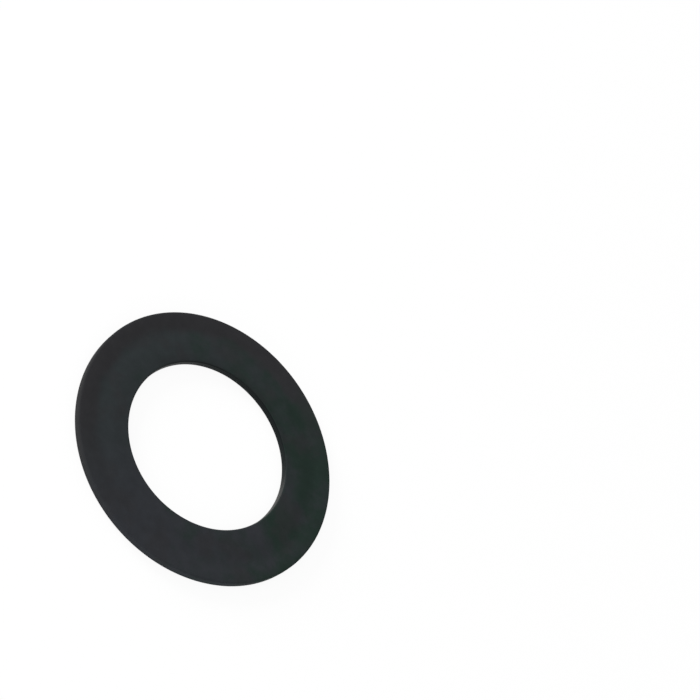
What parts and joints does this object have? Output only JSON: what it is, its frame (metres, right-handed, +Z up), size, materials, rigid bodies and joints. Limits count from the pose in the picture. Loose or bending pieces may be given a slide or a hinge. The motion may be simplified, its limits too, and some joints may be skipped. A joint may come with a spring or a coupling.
{
  "type": "flush valve seal",
  "caption": "Flat black rubber sealing ring with a wide hole and rounded edges, which fits on a flush valve's hub and closes the cistern's outlet.",
  "frame": {"origin": "the middle of the hole, at the ring's lower face, on which it lies", "axes": "+Z up along the ring's axis, from the lower face to the upper one; the ring is the same all round, so X and Y have no marks of their own"},
  "size_m": [0.064, 0.064, 0.002],
  "materials": {
    "black_rubber": "matte"
  },
  "bodies": {
    "root": {"seal_ring": "black_rubber"}
  },
  "joints": []
}
